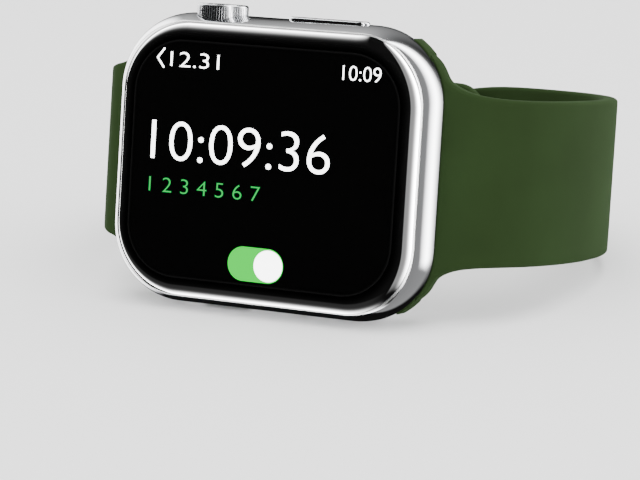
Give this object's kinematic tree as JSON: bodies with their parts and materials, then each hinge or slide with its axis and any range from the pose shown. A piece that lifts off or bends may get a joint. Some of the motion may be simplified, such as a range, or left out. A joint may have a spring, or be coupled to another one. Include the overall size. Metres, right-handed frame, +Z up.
{
  "type": "smartwatch",
  "caption": "Rounded rectangular smartwatch with a knurled crown, a side button and a closed silicone wrist band with a pin-and-tuck clasp.",
  "frame": {"origin": "on the floor, under the middle of the watch's bounding box, as it stands on its long side", "axes": "+X from the 12 o'clock end of the case to the 6 o'clock end, +Y from the display back into the wrist loop, +Z up. The case leans back 10.3 degrees about X, onto the lower edge of the band's far strand, so the crown side faces up and a little back"},
  "size_m": [0.072, 0.0566, 0.0401],
  "materials": {
    "polished_steel": "mirror-polished stainless steel",
    "brushed_steel": "fine brushed steel",
    "haptic_steel": "dense tungsten-like weight, satin",
    "black_glass": "polished glass over a black display",
    "lit_display": "lit segments of the display panel, white and green",
    "black_ceramic": "polished black ceramic",
    "green_silicone": "matt soft-touch silicone",
    "seal_rubber": "matt black rubber",
    "black_plastic": "matt moulded plastic",
    "board_laminate": "solder-mask green laminate",
    "battery_foil": "satin foil pouch",
    "enamelled_copper": "enamelled copper",
    "grey_ferrite": "matt ferrite"
  },
  "bodies": {
    "case": {"case_body": "polished_steel", "display_plate": "brushed_steel", "board_screw_1": "brushed_steel", "board_screw_2": "brushed_steel", "board_screw_3": "brushed_steel", "board_screw_4": "brushed_steel", "haptic_housing": "brushed_steel", "haptic_spring_left": "brushed_steel", "haptic_spring_right": "brushed_steel", "speaker_mesh": "brushed_steel", "alignment_magnet": "brushed_steel", "crown_bush": "brushed_steel", "crown_bracket": "brushed_steel", "side_button_bracket": "brushed_steel", "front_crystal": "black_glass", "back_crystal": "black_glass", "display_panel": "lit_display", "back_cover": "black_ceramic", "display_gasket": "seal_rubber", "crown_seal": "seal_rubber", "side_button_seal": "seal_rubber", "system_package": "black_plastic", "microphone": "black_plastic", "vent_sensor": "black_plastic", "speaker_module": "black_plastic", "sensor_cluster": "black_plastic", "crown_encoder": "black_plastic", "crown_switch": "black_plastic", "side_button_switch": "black_plastic", "main_board": "board_laminate", "sensor_board": "board_laminate", "battery": "battery_foil", "charging_coil": "enamelled_copper", "display_flex": "enamelled_copper", "ferrite_sheet": "grey_ferrite"},
    "haptic": {"haptic_mass": "haptic_steel"},
    "crown_slider": {"crown_retainer": "brushed_steel"},
    "crown": {"crown_cap": "polished_steel", "crown_shaft": "brushed_steel"},
    "side_button": {"side_button_cap": "polished_steel", "side_button_plunger": "brushed_steel"},
    "release_12": {"release_button_12": "polished_steel"},
    "release_6": {"release_button_6": "polished_steel"},
    "strap_12": {"strap_with_pin": "green_silicone", "clasp_pin": "polished_steel"},
    "strap_6": {"strap_with_holes": "green_silicone"},
    "latch_12": {"latch_bead_12": "brushed_steel"},
    "latch_6": {"latch_bead_6": "brushed_steel"}
  },
  "joints": [
    {"name": "crown_press", "type": "slide", "parent": "case", "child": "crown_slider", "axis": [0, -0.1789, -0.9839], "range_m": [0, 0.0003], "stiffness_N_per_m": 2500, "springref_m": -0.0002},
    {"name": "crown_turn", "type": "hinge", "parent": "crown_slider", "child": "crown", "pos_m": [-0.0094, -0.01711, 0.03742], "axis": [0, 0.1789, 0.9839], "continuous": true},
    {"name": "side_button_press", "type": "slide", "parent": "case", "child": "side_button", "axis": [0, -0.1789, -0.9839], "range_m": [0, 0.00025], "stiffness_N_per_m": 3500, "springref_m": -0.0002},
    {"name": "strap_12_slide", "type": "slide", "parent": "case", "child": "strap_12", "axis": [0, 0.1789, 0.9839], "range_m": [0, 0.036]},
    {"name": "strap_6_slide", "type": "slide", "parent": "case", "child": "strap_6", "axis": [0, 0.1789, 0.9839], "range_m": [0, 0.036]},
    {"name": "release_12_press", "type": "slide", "parent": "case", "child": "release_12", "axis": [0, -0.9839, 0.1789], "range_m": [0, 0.00035], "stiffness_N_per_m": 1200, "springref_m": -0.0003},
    {"name": "release_6_press", "type": "slide", "parent": "case", "child": "release_6", "axis": [0, -0.9839, 0.1789], "range_m": [0, 0.00035], "stiffness_N_per_m": 1200, "springref_m": -0.0003},
    {"name": "latch_12_retract", "type": "slide", "parent": "strap_12", "child": "latch_12", "axis": [0, -0.9839, 0.1789], "range_m": [0, 0.00035], "stiffness_N_per_m": 1200, "springref_m": -0.0003},
    {"name": "latch_6_retract", "type": "slide", "parent": "strap_6", "child": "latch_6", "axis": [0, -0.9839, 0.1789], "range_m": [0, 0.00035], "stiffness_N_per_m": 1200, "springref_m": -0.0003},
    {"name": "haptic_shift", "type": "slide", "parent": "case", "child": "haptic", "axis": [1, 0, 0], "range_m": [-0.0004, 0.0004], "stiffness_N_per_m": 1500}
  ],
  "couplings": [
    {"joint": "strap_6_slide", "follows": "strap_12_slide", "ratio": 1},
    {"joint": "latch_12_retract", "follows": "release_12_press", "ratio": 1},
    {"joint": "latch_6_retract", "follows": "release_6_press", "ratio": 1}
  ]
}
